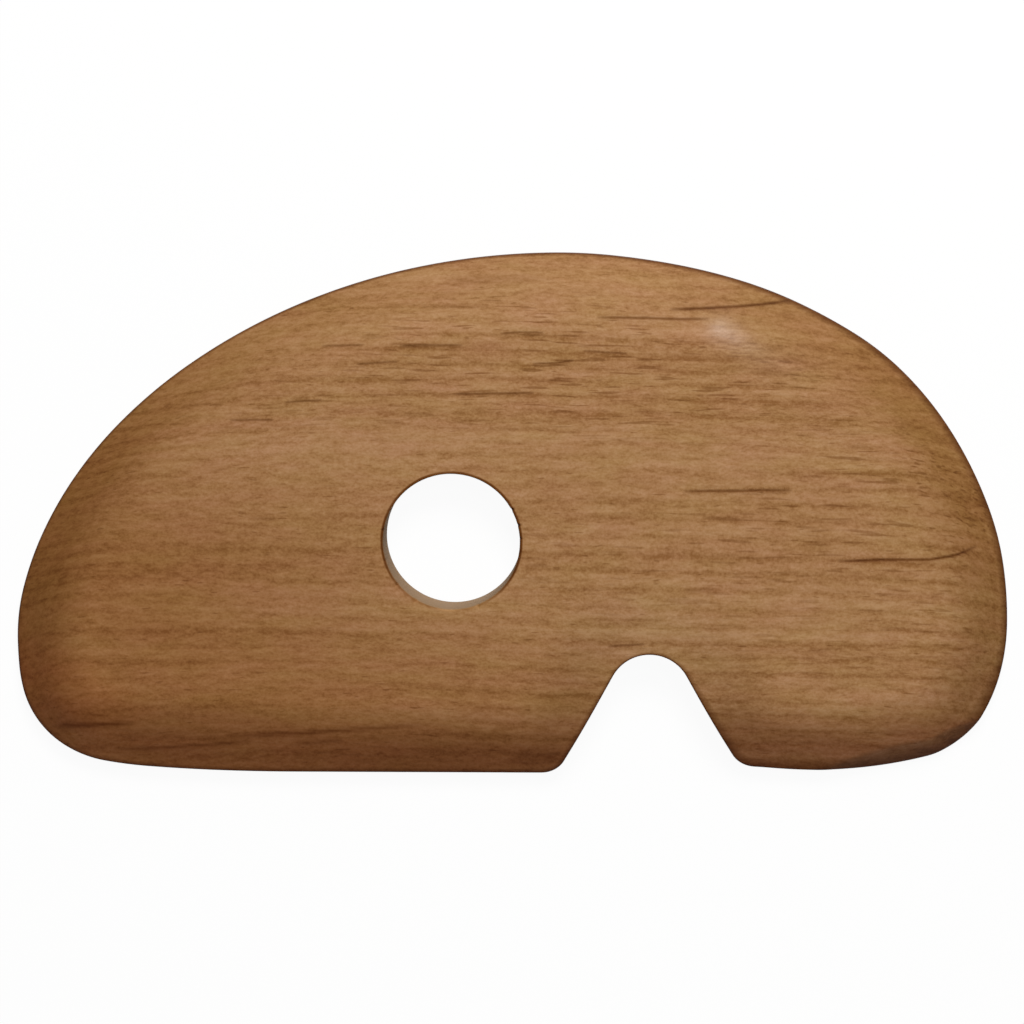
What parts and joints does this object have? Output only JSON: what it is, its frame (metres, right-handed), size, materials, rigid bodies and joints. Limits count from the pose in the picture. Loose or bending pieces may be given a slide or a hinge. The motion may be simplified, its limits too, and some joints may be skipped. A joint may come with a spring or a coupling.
{
  "type": "pottery rib",
  "caption": "Flat wooden throwing rib with a long bow edge, a straight foot with a rounded V notch, a round finger hole and one bevelled face.",
  "frame": {"origin": "on the flat back, under the middle of the rib's overall length and width", "axes": "+X along the length and the grain, +Y from the notched foot to the bow, +Z out of the bevelled face"},
  "size_m": [0.1396, 0.0736, 0.0063],
  "materials": {
    "oiled_hardwood": "light brown close-grained hardwood, sanded and oiled to a satin sheen, with fine grain lines and a few dark checks along the length"
  },
  "bodies": {
    "root": {"rib_blade": "oiled_hardwood"}
  },
  "joints": []
}
